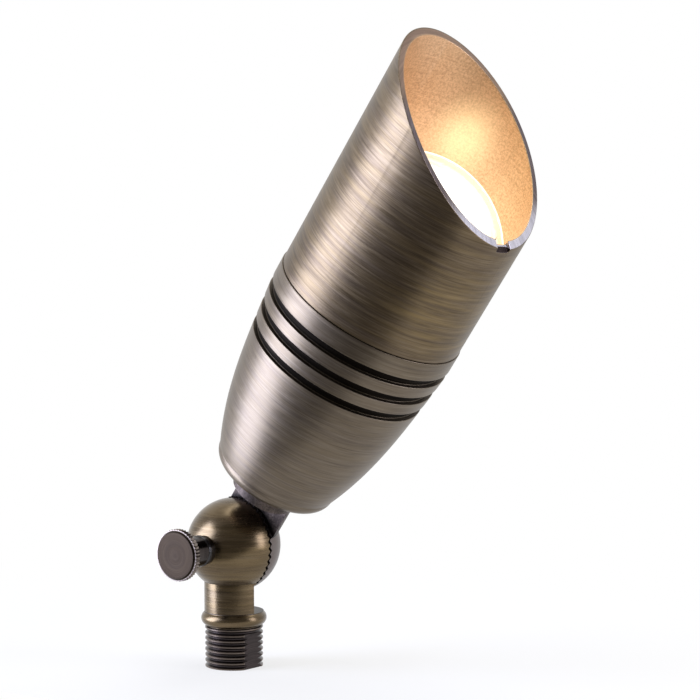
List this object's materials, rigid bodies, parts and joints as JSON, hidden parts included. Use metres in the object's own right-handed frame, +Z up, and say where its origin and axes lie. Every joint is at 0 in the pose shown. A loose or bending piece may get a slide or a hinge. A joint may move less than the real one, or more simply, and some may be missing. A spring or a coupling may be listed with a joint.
{
  "type": "outdoor spotlight",
  "caption": "Adjustable outdoor spotlight: turned brass housing with a slanted glare shroud and domed lens on a toothed tilting knuckle with a thumbscrew and a stake thread.",
  "frame": {"origin": "centre of the stake thread's bottom face", "axes": "+Z up along the stake thread's axis; the tilt axis runs along Y at 44.1 mm above the origin; the thumbscrew is on the -Y side; the head leans 35 degrees from upright towards +X"},
  "size_m": [0.1338, 0.069, 0.2253],
  "materials": {
    "aged_brass": "satin",
    "bronzed_screw": "satin",
    "black_washer": "gloss",
    "bright_brass": "satin",
    "stainless_steel": "satin",
    "plated_pins": "polished",
    "reflector_metal": "polished",
    "black_rubber": "matte",
    "pale_silicone": "matte",
    "white_ceramic": "satin",
    "black_insulation": "satin",
    "white_insulation": "satin",
    "light_source": "matte",
    "clear_glass": "gloss",
    "lens_glass": "gloss"
  },
  "bodies": {
    "base": {"lower_knuckle": "aged_brass", "cable_bush": "black_rubber"},
    "washer": {"thumbscrew_washer": "black_washer"},
    "thumbscrew": {"thumbscrew": "bronzed_screw"},
    "head": {"upper_knuckle": "aged_brass", "stem_gasket": "black_rubber", "stem_washer": "stainless_steel", "stem_nut": "bright_brass", "wire_seal_plug": "black_rubber", "housing": "aged_brass", "housing_o_ring": "black_rubber", "socket_bracket": "stainless_steel", "bracket_screws": "stainless_steel", "lamp_socket": "white_ceramic", "socket_screws": "stainless_steel", "socket_contacts": "bright_brass", "black_lead": "black_insulation", "white_lead": "white_insulation", "lamp_pins": "plated_pins", "lamp_base": "white_ceramic", "lamp_reflector": "reflector_metal", "led_emitter": "light_source", "lamp_face_glass": "clear_glass"},
    "lens_pack": {"lens": "lens_glass", "lens_gasket": "pale_silicone"},
    "shroud": {"shroud": "aged_brass", "lens_retaining_ring": "aged_brass"}
  },
  "joints": [
    {"name": "head_tilt", "type": "hinge", "parent": "base", "child": "head", "pos_m": [0, 0, 0.0441], "axis": [0, 1, 0], "range_deg": [-125, 55]},
    {"name": "screw_lift", "type": "slide", "parent": "base", "child": "washer", "axis": [0, -1, 0], "range_m": [0, 0.004]},
    {"name": "screw_turn", "type": "hinge", "parent": "washer", "child": "thumbscrew", "pos_m": [0, 0, 0.0441], "axis": [0, -1, 0], "range_deg": [0, 1450]},
    {"name": "shroud_lift", "type": "slide", "parent": "head", "child": "lens_pack", "axis": [0.5736, 0, 0.8192], "range_m": [0, 0.0075]},
    {"name": "shroud_turn", "type": "hinge", "parent": "lens_pack", "child": "shroud", "pos_m": [0, 0, 0.0441], "axis": [0.5736, 0, 0.8192], "range_deg": [0, 1800]}
  ],
  "couplings": [
    {"joint": "screw_turn", "follows": "screw_lift", "rad_per_m": 6283.2},
    {"joint": "shroud_lift", "follows": "shroud_turn", "m_per_rad": 0.00023873}
  ]
}
